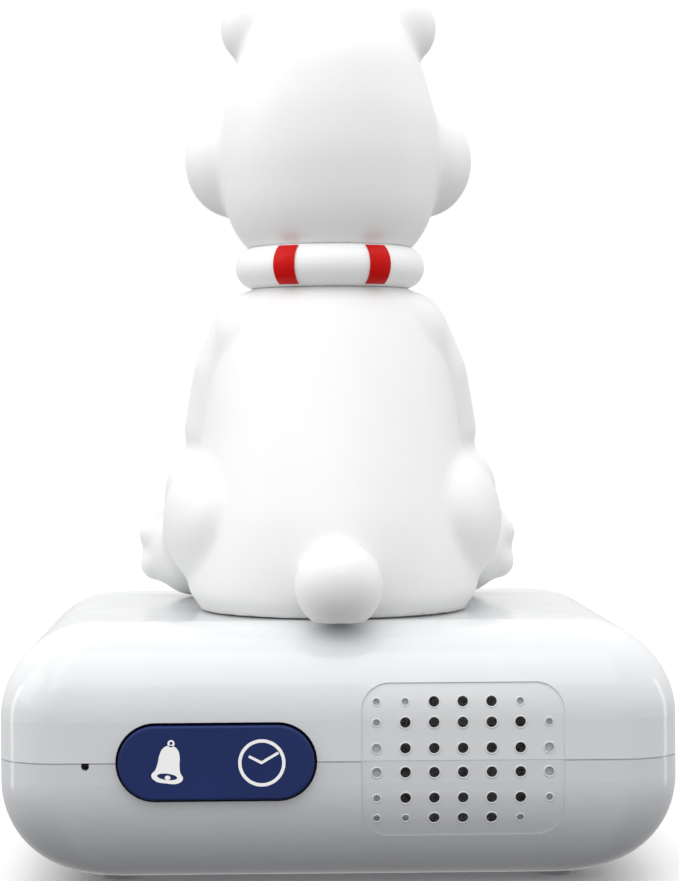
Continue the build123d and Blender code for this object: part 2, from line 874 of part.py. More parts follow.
def make_main_board_screws():
    return [screw_along_y(x, z, main_board_back, bezel_back - board_screw_grip, board_screw_radius,
                          board_head_radius, board_head_height) for x, z in main_board_holes()]


def make_clock_chip():
    return Plane((0, main_board_back, parting_z), z_dir=(0, 1, 0)) * Cone(
        chip_radius, chip_radius / 2, chip_height, align=(Align.CENTER, Align.CENTER, Align.MIN))


# Battery door, cells and contacts

def make_battery_door():
    """A flush door with two hooks on one edge, an ear for its screw and finger ridges."""
    door = prism_z(door_outline(0), 0, 0, bottom_z, floor_z)
    for y in (-door_tab_y, door_tab_y):
        tab = prism_z(Rectangle(tab_reach + tab_root, tab_width),
                      -door_half_length + (tab_root - tab_reach) / 2, y, floor_z, floor_z + tab_thickness)
        door += tab
    for k in range(grip_ridges):
        x = door_half_length - grip_ridge_pitch * (k + 1)
        door -= prism_z(SlotOverall(grip_ridge_length, grip_ridge_width, rotation=90), x, 0,
                        bottom_z, bottom_z + grip_ridge_depth)
    door -= rod_z(door_screw_radius + screw_slack, door_ear_x, 0, bottom_z, floor_z)
    return door - rod_z(door_head_radius + slip, door_ear_x, 0, bottom_z, bottom_z + door_head_height)


def make_door_screw():
    seat = bottom_z + door_head_height
    return screw_up(door_ear_x, 0, seat, floor_z + door_screw_grip, door_screw_radius, door_head_radius,
                    door_head_height - layer_gap)


def cell_rows():
    return [(k - (cell_count - 1) / 2) * cell_pitch for k in range(cell_count)]


def cell_way(k):
    """The end that the nub of cell k points to: neighbours lie head to tail."""
    return 1 if k % 2 == 0 else -1


def rod_x(radius, y, z, low, high):
    face = Plane((low, y, z), z_dir=(1, 0, 0)) * Circle(radius)
    return extrude(face, high - low)


def make_cells():
    cells = []
    half = cell_length / 2
    for k, y in enumerate(cell_rows()):
        can = rod_x(cell_radius, y, cell_z, -half, half)
        nub = rod_x(cell_nub_radius, y, cell_z, -half - cell_nub_height, half + cell_nub_height)
        keep = Pos(cell_way(k) * case_side / 2, 0, 0) * Box(case_side, case_side, case_side)
        cells.append(can + (nub & keep))
    return cells


def make_contacts(kind):
    """Plates for the nubs, or bowed leaves for the flat ends, each against an end wall of the bay."""
    found = []
    for k, y in enumerate(cell_rows()):
        way = cell_way(k) if kind == "plate" else -cell_way(k)
        plate = Pos(way * (bay_half_length - contact_thickness / 2), y, cell_z) * Box(
            contact_thickness, contact_width, contact_height)
        reach = bay_half_length - cell_length / 2 - layer_gap
        if kind == "plate":
            reach -= cell_nub_height
        bow_place = (way * bay_half_length, y + contact_width / 4, cell_z)
        bow = Plane(bow_place, x_dir=(-way, 0, 0), z_dir=(0, -1, 0))
        half_bow = contact_height / 2 - 2 * contact_thickness
        half_inner = half_bow - 2 * contact_thickness
        outer = ThreePointArc((contact_thickness, -half_bow), (reach, 0), (contact_thickness, half_bow))
        inner = ThreePointArc((contact_thickness, half_inner), (reach - contact_thickness, 0),
                              (contact_thickness, -half_inner))
        rim = [outer, Line(outer @ 1, inner @ 0), inner, Line(inner @ 1, outer @ 0)]
        leaf = extrude(bow * make_face(rim), way * contact_width / 2)
        found.append(plate + leaf)
    return found


# Snooze and light key

def make_snooze_key():
    cap = prism_z(snooze_outline(0), 0, snooze_y, snooze_flange_top, top_z + snooze_proud)
    cap = fillet(cap.faces().sort_by(Axis.Z)[-1].edges(), snooze_edge)
    flange = prism_z(snooze_outline(snooze_gap + snooze_lap), 0, snooze_y,
                     snooze_flange_top - snooze_flange, snooze_flange_top)
    post = rod_z(snooze_post_radius, 0, snooze_y, snooze_post_low, snooze_flange_top - snooze_flange)
    return cap + flange + post


def make_snooze_keypad():
    width = 2 * (snooze_boss_x - snooze_boss_radius - slip)
    pad = prism_z(Rectangle(width, snooze_board_width), 0, snooze_y, snooze_board_top, snooze_web_top)
    dome = Pos(0, snooze_y, snooze_web_top) * Cone(
        dome_radius, dome_tip_radius, dome_height, align=(Align.CENTER, Align.CENTER, Align.MIN))
    hollow = dome_tip_radius - web_thickness
    return pad + dome - rod_z(hollow, 0, snooze_y, snooze_board_top, snooze_dome_tip - web_thickness)


def make_snooze_board():
    outline = Rectangle(2 * (snooze_boss_x + snooze_boss_radius), snooze_board_width)
    board = prism_z(outline, 0, snooze_y, snooze_board_low, snooze_board_top)
    for x in (-snooze_boss_x, snooze_boss_x):
        board -= rod_z(board_screw_radius + slip, x, snooze_y, snooze_board_low, snooze_board_top)
    return board


def make_snooze_board_screws():
    return [screw_up(x, snooze_y, snooze_board_low, snooze_board_top + board_screw_grip, board_screw_radius,
                     board_head_radius, board_head_height) for x in (-snooze_boss_x, snooze_boss_x)]


# Night lamp

def make_lamp_board():
    board = rod_z(lamp_board_radius, 0, figure_y, lamp_board_low, lamp_board_top)
    for x, y in lamp_boss_places():
        board -= rod_z(board_screw_radius + slip, x, y, lamp_board_low, lamp_board_top)
    return board


def make_lamp_board_screws():
    return [screw_up(x, y, lamp_board_low, lamp_board_top + board_screw_grip, board_screw_radius,
                     board_head_radius, board_head_height) for x, y in lamp_boss_places()]


def make_lamp_leds():
    leds = []
    for k in range(led_count):
        turn = radians(360 * k / led_count)
        x = led_circle * cos(turn)
        y = figure_y + led_circle * sin(turn)
        barrel = rod_z(led_radius, x, y, lamp_board_top, lamp_board_top + led_height)
        rim = rod_z(led_radius + led_rim, x, y, lamp_board_top, lamp_board_top + led_rim_height)
        leds.append(barrel + rim + Pos(x, y, lamp_board_top + led_height) * Sphere(led_radius))
    return leds


# Bear figure

def stacked_ellipses(slices, shrink):
    """A smooth body through level ellipses, each drawn in by shrink."""
    faces = [Pos(0, y, seat_z + height) * Ellipse(half_width - shrink, half_depth - shrink)
             for height, half_width, half_depth, y in slices]
    return loft(faces)


def neck_seat(margin):
    """The room that the ring takes between head and shoulders."""
    return Pos(0, neck_y, seat_z + ring_height) * Torus(ring_radius, ring_tube + margin)


def bear_trunk():
    trunk = stacked_ellipses(trunk_slices, 0)
    return trunk + rod_z(neck_radius, 0, neck_y, seat_z + trunk_slices[-2][0], seat_z + neck_top)


def raised(place):
    """A place on the bear, lifted from its seat to the height in the part's frame."""
    x, y, height = place
    return (x, y, seat_z + height)


def bear_limbs():
    """Haunch, shin, foot with toes and arm of one side."""
    limbs = [
        ellipsoid(*raised(haunch), *haunch_half),
        tapered_limb(raised(knee), knee_radius, raised(ankle), ankle_radius),
        tapered_limb(raised(shoulder), shoulder_radius, raised(upper_arm), upper_arm_radius),
        tapered_limb(raised(upper_arm), upper_arm_radius, raised(elbow), elbow_radius),
        tapered_limb(raised(elbow), elbow_radius, raised(wrist), wrist_radius),
        ellipsoid(*raised(sole), *sole_half),
    ]
    x, y, z = raised(sole)
    for turn in toe_turns:
        toe = Pos(x + toe_reach * cos(radians(turn)), y - toe_forward, z + toe_reach * sin(radians(turn)))
        limbs.append(toe * Sphere(toe_radius))
    return limbs


def make_bear_body():
    """The vinyl skin of the trunk, arms, legs and tail, hollow for the lamp and flat at the seat."""
    room = stacked_ellipses(trunk_slices[:-1], skin_wall)
    room += rod_z(neck_bore, 0, neck_y, seat_z + trunk_slices[-3][0], seat_z + neck_top)
    under = prism_z(Rectangle(2 * case_side, 2 * case_side), 0, 0, 0, seat_z)
    collar = neck_seat(band_slip + band_thickness + ring_slip)
    body = bear_trunk() - room - collar
    for limb in bear_limbs():
        skin = limb - room - under - collar
        for side in both_sides(skin):
            body += side
    ball = Pos(*raised(tail)) * Sphere(tail_radius)
    return body + (ball - room)


def make_bear_head():
    """The vinyl head: egg-shaped skull, round ears, cheek tufts, muzzle and nose, hollow for light."""
    slices = [(height, half_width, half_depth, head_y) for height, half_width, half_depth in head_slices]
    hollow = [cut for cut in slices if neck_top <= cut[0] <= slices[-3][0]]
    room = stacked_ellipses(hollow, skin_wall)
    room += rod_z(neck_radius + neck_slip, 0, neck_y, seat_z, seat_z + neck_top + 2 * skin_wall)
    head = stacked_ellipses(slices, 0) - room
    for lobe in (ellipsoid(*raised(ear), *ear_half), ellipsoid(*raised(cheek), *cheek_half)):
        for side in both_sides(lobe - room):
            head += side
    head += ellipsoid(*raised(muzzle), *muzzle_half) - room
    head += ellipsoid(*raised(nose), *nose_half)
    return head - neck_seat(band_slip + band_thickness + ring_slip)


def make_neck_ring():
    return neck_seat(0)


def make_neck_bands():
    """Four thin red patches on the ring's outside, in pairs either side of its back and its front."""
    bands = []
    outer = ring_tube + band_slip + band_thickness
    patch = Circle(outer) - Circle(ring_tube + band_slip)
    patch &= Pos(outer / 2, 0) * Rectangle(outer, band_height)
    section = Plane((ring_radius, 0, 0), x_dir=(1, 0, 0), z_dir=(0, -1, 0)) * patch
    for turn in (90 - band_angle, 90 + band_angle, 270 - band_angle, 270 + band_angle):
        band = revolve(section, Axis.Z, band_spread)
        bands.append(Pos(0, neck_y, seat_z + ring_height) * Rot(0, 0, turn - band_spread / 2) * band)
    return bands


def make_figure_base_plate():
    """The white plate inside the bear's lower edge, screwed down through the top of the case."""
    half_width, half_depth, middle_y = trunk_slices[0][1:]
    shrink = skin_wall + base_plate_slip
    outline = Ellipse(half_width - shrink, half_depth - shrink)
    plate = prism_z(outline, 0, middle_y, top_z, top_z + base_plate_thickness)
    for x, y in figure_screw_places():
        plate += rod_z(figure_boss_radius, x, y, top_z, top_z + figure_screw_grip + base_plate_thickness)
    plate -= rod_z(lamp_hole_radius, 0, figure_y, top_z, top_z + base_plate_thickness)
    for x, y in figure_screw_places():
        plate -= rod_z(figure_screw_radius + screw_slack, x, y, top_z, top_z + figure_screw_grip + slip)
    return plate


def make_figure_screws():
    return [screw_up(x, y, ceiling_z, top_z + figure_screw_grip, figure_screw_radius, figure_head_radius,
                     figure_head_height) for x, y in figure_screw_places()]


def build_parts():
    return {
        "lower_shell": make_lower_shell(),
        "upper_shell": make_upper_shell(),
        "case_screws": make_case_screws(),
        "rubber_feet": make_rubber_feet(),
        "rocker_key": make_rocker_key(),
        "rocker_pin": make_rocker_pin(),
        "rocker_carrier": make_rocker_carrier(),
        "rear_keypad": make_rear_keypad(),
        "key_board": make_key_board(),
        "key_board_screws": make_key_board_screws(),
        "reset_switch": make_reset_switch(),
        "reset_plunger": make_reset_plunger(),
        "grille_cloth": make_grille_cloth(),
        "speaker_gasket": make_speaker_gasket(),
        "speaker_frame": make_speaker_frame(),
        "speaker_magnet": make_speaker_magnet(),
        "speaker_cone": make_speaker_cone(),
        "display_bezel": make_display_bezel(),
        "display_lens": pocket_slab(lens_front, lens_thickness),
        "lcd_panel": pocket_slab(lcd_front, lcd_thickness),
        "lcd_backlight": pocket_slab(backlight_front, main_board_front - backlight_front),
        "main_board": make_main_board(),
        "main_board_screws": make_main_board_screws(),
        "clock_chip": make_clock_chip(),
        "battery_door": make_battery_door(),
        "battery_door_screw": make_door_screw(),
        "battery_cells": make_cells(),
        "battery_plates": make_contacts("plate"),
        "battery_springs": make_contacts("leaf"),
        "snooze_key": make_snooze_key(),
        "snooze_keypad": make_snooze_keypad(),
        "snooze_board": make_snooze_board(),
        "snooze_board_screws": make_snooze_board_screws(),
        "lamp_board": make_lamp_board(),
        "lamp_board_screws": make_lamp_board_screws(),
        "lamp_leds": make_lamp_leds(),
        "bear_body": make_bear_body(),
        "bear_head": make_bear_head(),
        "neck_ring": make_neck_ring(),
        "neck_ring_bands": make_neck_bands(),
        "figure_base_plate": make_figure_base_plate(),
        "figure_screws": make_figure_screws(),
    }


def main():
    os.makedirs("parts", exist_ok=True)
    for name, shape in build_parts().items():
        if isinstance(shape, list):
            shape = Compound(children=shape)
        export_step(shape, os.path.join("parts", name + ".step"))


main()
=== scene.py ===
import bpy
import math
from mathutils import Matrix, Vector


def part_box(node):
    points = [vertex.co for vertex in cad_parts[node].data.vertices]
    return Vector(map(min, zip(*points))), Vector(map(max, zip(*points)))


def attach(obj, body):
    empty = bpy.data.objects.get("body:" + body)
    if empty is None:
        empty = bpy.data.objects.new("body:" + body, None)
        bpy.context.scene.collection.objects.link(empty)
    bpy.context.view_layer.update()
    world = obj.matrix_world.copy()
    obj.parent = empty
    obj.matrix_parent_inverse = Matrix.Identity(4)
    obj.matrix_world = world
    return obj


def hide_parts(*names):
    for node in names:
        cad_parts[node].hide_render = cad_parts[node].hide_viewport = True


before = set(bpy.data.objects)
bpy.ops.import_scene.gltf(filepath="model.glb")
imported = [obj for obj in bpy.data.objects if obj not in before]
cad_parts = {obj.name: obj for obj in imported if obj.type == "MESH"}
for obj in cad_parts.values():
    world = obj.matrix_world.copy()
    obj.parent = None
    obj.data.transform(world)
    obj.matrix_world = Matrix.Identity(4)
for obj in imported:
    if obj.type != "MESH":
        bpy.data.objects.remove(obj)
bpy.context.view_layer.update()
bpy.ops.object.select_all(action="DESELECT")

# Camera
# A long lens behind the clock, level with the bear's neck, with a very slight turn and roll.
# The picture is 679 wide and 881 high, and the 36 mm of the sensor lie along its height.
bpy.ops.object.camera_add(location=(0.01449, 0.55642, 0.0848), rotation=(1.559796, 0.0052, 3.112335))
camera = bpy.context.object
camera.data.sensor_fit = "VERTICAL"
camera.data.sensor_height = 36
camera.data.lens = 116.72
bpy.context.scene.camera = camera
bpy.context.scene.view_settings.view_transform = "Standard"

# Studio
# A pale floor in a dome of soft light, bright overhead and dim below, with a lamp at the left and a broad one
# above the camera. Two narrow softboxes beside the clock show in the rounded corners of its casing.
# The floor takes the clock's shadow, throws no light back at it and is clear from below.
bpy.ops.mesh.primitive_circle_add(vertices=96, radius=4, fill_type="NGON")
floor = bpy.context.object
floor.name = "floor"
floor.visible_diffuse = False
floor.visible_glossy = False
paper = bpy.data.materials.new("floor_paper")
paper.use_nodes = True
paper_tree = paper.node_tree
paper_shader = paper_tree.nodes["Principled BSDF"]
paper_shader.inputs["Base Color"].default_value = (0.93, 0.93, 0.93, 1)
paper_shader.inputs["Roughness"].default_value = 0.9
underneath = paper_tree.nodes.new("ShaderNodeNewGeometry")
see_through = paper_tree.nodes.new("ShaderNodeBsdfTransparent")
paper_choice = paper_tree.nodes.new("ShaderNodeMixShader")
paper_tree.links.new(underneath.outputs["Backfacing"], paper_choice.inputs["Fac"])
paper_tree.links.new(paper_shader.outputs["BSDF"], paper_choice.inputs[1])
paper_tree.links.new(see_through.outputs["BSDF"], paper_choice.inputs[2])
paper_tree.links.new(paper_choice.outputs["Shader"], paper_tree.nodes["Material Output"].inputs["Surface"])
floor.data.materials.append(paper)

studio = bpy.data.worlds.new("studio")
bpy.context.scene.world = studio
studio.use_nodes = True
dome = studio.node_tree
dome.nodes.clear()
facing = dome.nodes.new("ShaderNodeTexCoord")
direction = dome.nodes.new("ShaderNodeSeparateXYZ")
height_up = dome.nodes.new("ShaderNodeMapRange")
height_up.inputs["From Min"].default_value = -1
glow = dome.nodes.new("ShaderNodeValToRGB")
glow.color_ramp.elements[0].color = (0.02, 0.02, 0.021, 1)
glow.color_ramp.elements[1].color = (1, 1, 1, 1)
camera_side = dome.nodes.new("ShaderNodeMapRange")
camera_side.inputs["To Min"].default_value = 1.58
camera_side.inputs["To Max"].default_value = 1.4
soft_light = dome.nodes.new("ShaderNodeBackground")
backdrop = dome.nodes.new("ShaderNodeBackground")
backdrop.inputs["Color"].default_value = (1, 1, 1, 1)
ray = dome.nodes.new("ShaderNodeLightPath")
choice = dome.nodes.new("ShaderNodeMixShader")
out = dome.nodes.new("ShaderNodeOutputWorld")
dome.links.new(facing.outputs["Generated"], direction.inputs["Vector"])
dome.links.new(direction.outputs["Z"], height_up.inputs["Value"])
dome.links.new(height_up.outputs["Result"], glow.inputs["Fac"])
dome.links.new(direction.outputs["Y"], camera_side.inputs["Value"])
dome.links.new(camera_side.outputs["Result"], soft_light.inputs["Strength"])
dome.links.new(glow.outputs["Color"], soft_light.inputs["Color"])
dome.links.new(ray.outputs["Is Camera Ray"], choice.inputs["Fac"])
dome.links.new(soft_light.outputs["Background"], choice.inputs[1])
dome.links.new(backdrop.outputs["Background"], choice.inputs[2])
dome.links.new(choice.outputs["Shader"], out.inputs["Surface"])

lamp_aim = Vector((0, 0, 0.07))
for name, place, size, power in (("side_lamp", Vector((0.7, 0.1, 0.5)), 0.5, 1),
                                 ("high_lamp", Vector((0.1, 0.5, 0.95)), 0.9, 3)):
    bpy.ops.object.light_add(type="AREA", location=place)
    lamp = bpy.context.object
    lamp.name = name
    lamp.data.size = size
    lamp.data.energy = power
    lamp.rotation_euler = (lamp_aim - place).to_track_quat("-Z", "Y").to_euler()

softbox_away, softbox_back, softbox_middle = 0.6, -0.1, 0.12
for name, side in (("softbox_left", 1), ("softbox_right", -1)):
    bpy.ops.object.light_add(type="AREA", location=(side * softbox_away, softbox_back, softbox_middle))
    softbox = bpy.context.object
    softbox.name = name
    softbox.data.shape = "RECTANGLE"
    softbox.data.size = 0.09
    softbox.data.size_y = 0.45
    softbox.data.energy = 0.3
    softbox.rotation_euler = (math.radians(90), 0, side * math.radians(90))

# Base casing
# Two glossy white mouldings that meet half way up, held together by four screws from below.
# The lower one holds the battery bay and the feet, the upper one carries the bear and the top key.


def moulding(name, colour, patch, gloss, grain, depth):
    """A moulded finish whose tint and gloss drift a little, with the fine grain of its tool."""
    material = bpy.data.materials.new(name)
    material.use_nodes = True
    tree = material.node_tree
    shader = tree.nodes["Principled BSDF"]
    place = tree.nodes.new("ShaderNodeTexCoord")
    drift = tree.nodes.new("ShaderNodeTexNoise")
    drift.inputs["Scale"].default_value = 45
    drift.inputs["Detail"].default_value = 4
    tint = tree.nodes.new("ShaderNodeValToRGB")
    tint.color_ramp.elements[0].position = 0.35
    tint.color_ramp.elements[0].color = (*patch, 1)
    tint.color_ramp.elements[1].position = 0.65
    tint.color_ramp.elements[1].color = (*colour, 1)
    dull = tree.nodes.new("ShaderNodeMapRange")
    dull.inputs["From Min"].default_value = 0.3
    dull.inputs["From Max"].default_value = 0.7
    dull.inputs["To Min"].default_value = gloss[0]
    dull.inputs["To Max"].default_value = gloss[1]
    fine = tree.nodes.new("ShaderNodeTexNoise")
    fine.inputs["Scale"].default_value = grain
    fine.inputs["Detail"].default_value = 2
    relief = tree.nodes.new("ShaderNodeBump")
    relief.inputs["Distance"].default_value = depth
    tree.links.new(place.outputs["Object"], drift.inputs["Vector"])
    tree.links.new(place.outputs["Object"], fine.inputs["Vector"])
    tree.links.new(drift.outputs["Fac"], tint.inputs["Fac"])
    tree.links.new(drift.outputs["Fac"], dull.inputs["Value"])
    tree.links.new(fine.outputs["Fac"], relief.inputs["Height"])
    tree.links.new(tint.outputs["Color"], shader.inputs["Base Color"])
    tree.links.new(dull.outputs["Result"], shader.inputs["Roughness"])
    tree.links.new(relief.outputs["Normal"], shader.inputs["Normal"])
    return material


def dress(material, *names):
    """Gives CAD nodes their finish."""
    for name in names:
        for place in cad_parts[name].material_slots:
            place.material = material


white_gloss = moulding("white_gloss", (0.66, 0.67, 0.68), (0.645, 0.655, 0.665), (0.1, 0.16), 900, 0.00001)
dress(white_gloss, "upper_shell")
# The lower moulding's finish is a darker copy of the upper one's: painted shade for the light that falls off
# down the casing.
lower_gloss_painted_shade = moulding("lower_gloss_painted_shade", (0.60, 0.61, 0.63), (0.585, 0.595, 0.615), (0.1, 0.16), 900, 0.00001)
dress(lower_gloss_painted_shade, "lower_shell", "battery_door")

# Rubber feet
# Four small round pads of soft grey rubber.
# They are pressed into shallow recesses in the underside and lift the casing off the table.
grey_rubber = moulding("grey_rubber", (0.30, 0.30, 0.31), (0.24, 0.24, 0.25), (0.7, 0.85), 2600, 0.00005)
dress(grey_rubber, "rubber_feet")

# Rocker key
# A navy satin plate that tips either way on an upright pin in the back of the case.
# A bell and a clock face are printed on it in white.
navy = moulding("navy", (0.016, 0.030, 0.125), (0.014, 0.026, 0.112), (0.33, 0.42), 3200, 0.00002)
navy.node_tree.nodes["Principled BSDF"].inputs["Specular IOR Level"].default_value = 0.12
dress(navy, "rocker_key", "snooze_key")
white_ink = moulding("white_ink", (0.96, 0.96, 0.96), (0.94, 0.94, 0.94), (0.4, 0.5), 2500, 0.00001)
ink_depth = 0.00003
rocker_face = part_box("rocker_key")[1].y
facing_back = (math.radians(90), 0, math.radians(180))


def printed_sign(name, loops, place, turn, ink, body):
    """A thin layer of ink inside closed outlines, laid at its place. Each loop says whether it is curved."""
    drawing = bpy.data.curves.new(name, "CURVE")
    drawing.dimensions = "2D"
    drawing.fill_mode = "BOTH"
    drawing.extrude = ink_depth
    for curved, points in loops:
        outline = drawing.splines.new("BEZIER" if curved else "POLY")
        outline.use_cyclic_u = True
        if curved:
            outline.bezier_points.add(len(points) - 1)
            outline.resolution_u = 10
            for knot, (across, up) in zip(outline.bezier_points, points):
                knot.co = (across * 0.001, up * 0.001, 0)
                knot.handle_left_type = "AUTO"
                knot.handle_right_type = "AUTO"
        else:
            outline.points.add(len(points) - 1)
            for knot, (across, up) in zip(outline.points, points):
                knot.co = (across * 0.001, up * 0.001, 0, 1)
    sign = bpy.data.objects.new(name, drawing)
    bpy.context.scene.collection.objects.link(sign)
    bpy.ops.object.select_all(action="DESELECT")
    sign.select_set(True)
    bpy.context.view_layer.objects.active = sign
    bpy.ops.object.convert(target="MESH")
    sign = bpy.context.object
    sign.location = place
    sign.rotation_euler = turn
    bpy.ops.object.transform_apply(location=True, rotation=True, scale=True)
    sign.data.materials.clear()
    sign.data.materials.append(ink)
    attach(sign, body)
    return sign


def round_loop(across, up, half_width, half_height, knots=12):
    """A curved outline round a place."""
    turns = [2 * math.pi * k / knots for k in range(knots)]
    return True, [(across + half_width * math.cos(t), up + half_height * math.sin(t)) for t in turns]


def leaning(loop, angle):
    """The outline turned about its sign's centre."""
    curved, points = loop
    c, s = math.cos(angle), math.sin(angle)
    return curved, [(x * c - y * s, x * s + y * c) for x, y in points]


bell_side = ((0.55, 2.75), (1.35, 2.15), (1.75, 1.05), (1.9, -0.4), (2.2, -1.7), (2.75, -2.6))
bell_outline = (True, [(x, y) for x, y in bell_side] + [(2.3, -3.35), (0, -3.75), (-2.3, -3.35)]
                + [(-x, y) for x, y in reversed(bell_side)])
bell_lean = math.radians(-7)
bell_place = (0.0299, rocker_face, 0.0238)
clock_place = (0.0138, rocker_face, 0.0235)
printed_sign("bell_sign", [leaning(loop, bell_lean) for loop in (
    bell_outline, round_loop(0, -2.6, 1.75, 0.55), round_loop(0.1, -2.75, 0.5, 0.38),
    round_loop(0, 3.2, 0.62, 0.62), round_loop(0, 3.25, 0.26, 0.28))],
    bell_place, facing_back, white_ink, "rocker")
hands = (False, [(-2.35, 0.95), (-2.15, 1.35), (-0.05, 0.3), (2.75, 1.95), (3.0, 1.55), (-0.05, -0.25)])
printed_sign("clock_sign", [round_loop(0, 0, 4.1, 4.1, 16), round_loop(0, 0, 3.52, 3.52, 16), hands],
             clock_place, facing_back, white_ink, "rocker")

# Speaker grille
# Rows of holes and blind dimples in a shallow panel across both mouldings, with edges that polishing rounded.
# Each edge is a fine ring that lies on the wall round its hole.
grille_low, grille_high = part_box("grille_cloth")
grille_middle = (grille_low + grille_high) / 2
grille_pitch, grille_columns = 0.00503, 7
grille_rows = (0.0102, 0.0066, 0.0021, -0.0021, -0.0066, -0.0102)
last_row, last_column = len(grille_rows) - 1, grille_columns - 1
hole_radius, dimple_radius, small_radius = 0.00103, 0.00092, 0.0007
edge_radius, wall_margin, outside = 0.00013, 0.0003, 0.1


def wall_at(x, z):
    """How far back the casing's outside lies at this place."""
    start, straight_in = Vector((x, outside, z)), Vector((0, -1, 0))
    casts = [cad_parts[name].ray_cast(start, straight_in) for name in ("upper_shell", "lower_shell")]
    return max(cast[1].y for cast in casts if cast[0])


def grille_radius(row, column):
    """The radius of one hole or dimple, or nothing at the two empty corners."""
    end_row = row in (0, last_row)
    middle_row = row in (last_row // 2, last_row - last_row // 2)
    if column in (0, last_column):
        if end_row and column == last_column:
            return None
        return dimple_radius if middle_row else small_radius
    return small_radius if end_row and column in (1, last_column - 1) else hole_radius


bpy.ops.object.select_all(action="DESELECT")
bpy.ops.mesh.primitive_circle_add(vertices=3, radius=0.001, location=(0, 0, 0))
hole_edges = bpy.context.object
hole_edges.name = "grille_hole_edges"
bpy.ops.object.mode_set(mode="EDIT")
bpy.ops.mesh.select_all(action="SELECT")
bpy.ops.mesh.delete(type="VERT")
for row, rise in enumerate(grille_rows):
    for column in range(grille_columns):
        radius = grille_radius(row, column)
        if radius is None:
            continue
        x = grille_middle.x + (last_column / 2 - column) * grille_pitch
        z = grille_middle.z + rise
        reach = radius + wall_margin
        above, below = wall_at(x, z + reach), wall_at(x, z - reach)
        lean = math.atan2(below - above, 2 * reach)
        bpy.ops.mesh.primitive_torus_add(major_segments=40, minor_segments=10, major_radius=radius,
                                         minor_radius=edge_radius, location=(x, (above + below) / 2, z),
                                         rotation=(lean - math.radians(90), 0, 0))
bpy.ops.mesh.select_all(action="SELECT")
bpy.ops.mesh.normals_make_consistent(inside=False)
bpy.ops.object.mode_set(mode="OBJECT")
bpy.ops.object.shade_smooth()
hole_edges.data.materials.append(white_gloss)
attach(hole_edges, "case")

# Speaker and rear switches
# Behind the back wall: grey felt over a small loudspeaker, and the rocker's pin, carrier, keypad and board.
# The felt is made pale as painted light, so the holes in front of it look less deep in shade than they are.
felt_painted_light = moulding("felt_painted_light", (0.7, 0.7, 0.71), (0.63, 0.63, 0.64), (0.85, 0.95), 5200, 0.0002)
dress(felt_painted_light, "grille_cloth", "speaker_gasket")
black_plastic = moulding("black_plastic", (0.022, 0.022, 0.024), (0.016, 0.016, 0.018), (0.4, 0.55), 2400,
                         0.00003)
dress(black_plastic, "rocker_carrier", "reset_switch", "clock_chip", "speaker_cone")
ferrite = moulding("ferrite", (0.06, 0.06, 0.065), (0.04, 0.04, 0.045), (0.55, 0.75), 1800, 0.0001)
dress(ferrite, "speaker_magnet")
silicone = moulding("silicone", (0.5, 0.52, 0.55), (0.45, 0.47, 0.5), (0.55, 0.65), 1500, 0.00003)
dress(silicone, "rear_keypad", "snooze_keypad")
white_nylon = moulding("white_nylon", (0.9, 0.9, 0.9), (0.86, 0.86, 0.86), (0.4, 0.5), 1500, 0.00002)
dress(white_nylon, "reset_plunger")
board_green = moulding("board_green", (0.025, 0.15, 0.055), (0.018, 0.11, 0.04), (0.25, 0.4), 700, 0.00005)
dress(board_green, "main_board", "key_board", "snooze_board", "lamp_board")
steel = moulding("steel", (0.62, 0.62, 0.64), (0.52, 0.52, 0.54), (0.22, 0.4), 4000, 0.00002)
steel.node_tree.nodes["Principled BSDF"].inputs["Metallic"].default_value = 1
dress(steel, "case_screws", "rocker_pin", "key_board_screws", "main_board_screws", "battery_door_screw",
      "battery_plates", "battery_springs", "snooze_board_screws", "lamp_board_screws", "figure_screws",
      "speaker_frame")

# Display
# A navy frame in the front wall holds a clear window over the reflective liquid crystal glass.
# The dark figures are part of the glass, and a white light guide lies behind it.
dress(navy, "display_bezel")
clear_window = moulding("clear_window", (0.97, 0.98, 0.98), (0.96, 0.97, 0.97), (0.02, 0.05), 300, 0.000001)
clear_window.node_tree.nodes["Principled BSDF"].inputs["Transmission Weight"].default_value = 1
clear_window.node_tree.nodes["Principled BSDF"].inputs["IOR"].default_value = 1.49
dress(clear_window, "display_lens")
lcd_glass = moulding("lcd_glass", (0.52, 0.58, 0.51), (0.49, 0.55, 0.48), (0.18, 0.26), 2600, 0.00001)
dress(lcd_glass, "lcd_panel")
white_diffuser = moulding("white_diffuser", (0.86, 0.87, 0.86), (0.82, 0.83, 0.82), (0.55, 0.7), 1200,
                          0.00003)
dress(white_diffuser, "lcd_backlight", "figure_base_plate")
digit_ink = moulding("digit_ink", (0.02, 0.025, 0.025), (0.015, 0.02, 0.02), (0.2, 0.3), 2500, 0.00001)
ghost_ink = moulding("ghost_ink", (0.43, 0.49, 0.42), (0.41, 0.47, 0.40), (0.2, 0.3), 2500, 0.00001)
lcd_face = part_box("lcd_panel")[0].y
facing_front = (math.radians(90), 0, 0)
digit_half_width, digit_half_height, bar = 2.9, 5.2, 1.15
segments_of = {"0": "abcdef", "1": "bc", "2": "abged", "3": "abgcd", "4": "fgbc", "5": "afgcd", "6": "afgedc",
               "7": "abc", "8": "abcdefg", "9": "abcdfg"}


def flat_bar(x, z, length, upright):
    """One pointed segment of a figure."""
    tip, side = length / 2 - 0.12, bar / 2
    shoulder = tip - side
    points = [(-tip, 0), (-shoulder, side), (shoulder, side), (tip, 0), (shoulder, -side), (-shoulder, -side)]
    return False, [(x + b, z + a) if upright else (x + a, z + b) for a, b in points]


def figure_bars(middle, lit):
    """The named segments of the figure at this place across the glass."""
    w, h = digit_half_width - bar / 2, digit_half_height - bar / 2
    places = {"a": (0, h, False), "d": (0, -h, False), "g": (0, 0, False), "b": (w, h / 2, True),
              "c": (w, -h / 2, True), "e": (-w, -h / 2, True), "f": (-w, h / 2, True)}
    return [flat_bar(middle + x, z, h if upright else 2 * w, upright)
            for key, (x, z, upright) in places.items() if key in lit]


